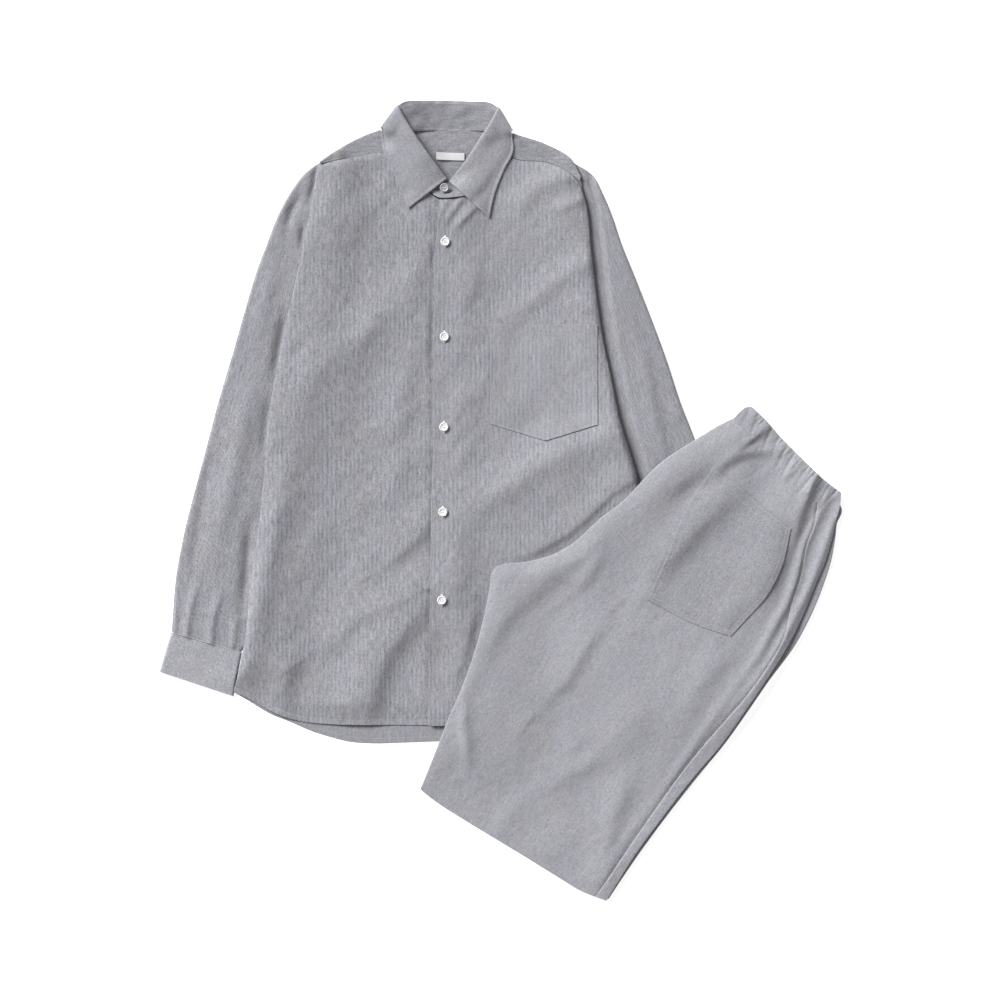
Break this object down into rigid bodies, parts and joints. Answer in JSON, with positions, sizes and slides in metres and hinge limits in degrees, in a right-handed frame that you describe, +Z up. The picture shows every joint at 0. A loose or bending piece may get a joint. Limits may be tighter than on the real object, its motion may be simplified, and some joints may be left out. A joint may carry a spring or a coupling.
{
  "type": "pyjama set",
  "caption": "Long-sleeved button-up sleep shirt laid flat and face up, with elastic-waist shorts folded in half across its lower front.",
  "frame": {"origin": "on the surface that the set lies on, under the middle of its outline", "axes": "+Y from the hems to the collar, +X to the side where the shorts lie (the wearer's left sleeve), +Z up off the surface"},
  "size_m": [0.85, 1.001, 0.0217],
  "materials": {
    "cotton": "grey cotton with a fine lengthwise stripe, matt",
    "label": "pale woven tape, blank",
    "button": "pearly, with a raised rim"
  },
  "bodies": {
    "root": {"shirt_back": "cotton", "shirt_yoke": "cotton", "shirt_right_front": "cotton", "shirt_left_front": "cotton", "shirt_right_sleeve": "cotton", "shirt_left_sleeve": "cotton", "shirt_right_cuff": "cotton", "shirt_left_cuff": "cotton", "shirt_collar_stand": "cotton", "shirt_collar": "cotton", "shirt_chest_pocket": "cotton", "shirt_neck_label": "label", "shirt_button_1": "button", "shirt_button_2": "button", "shirt_button_3": "button", "shirt_button_4": "button", "shirt_button_5": "button", "shirt_button_6": "button", "shorts_layers": "cotton", "shorts_back_leg": "cotton", "shorts_front_leg": "cotton", "shorts_waistband": "cotton", "shorts_pocket": "cotton"}
  },
  "joints": []
}
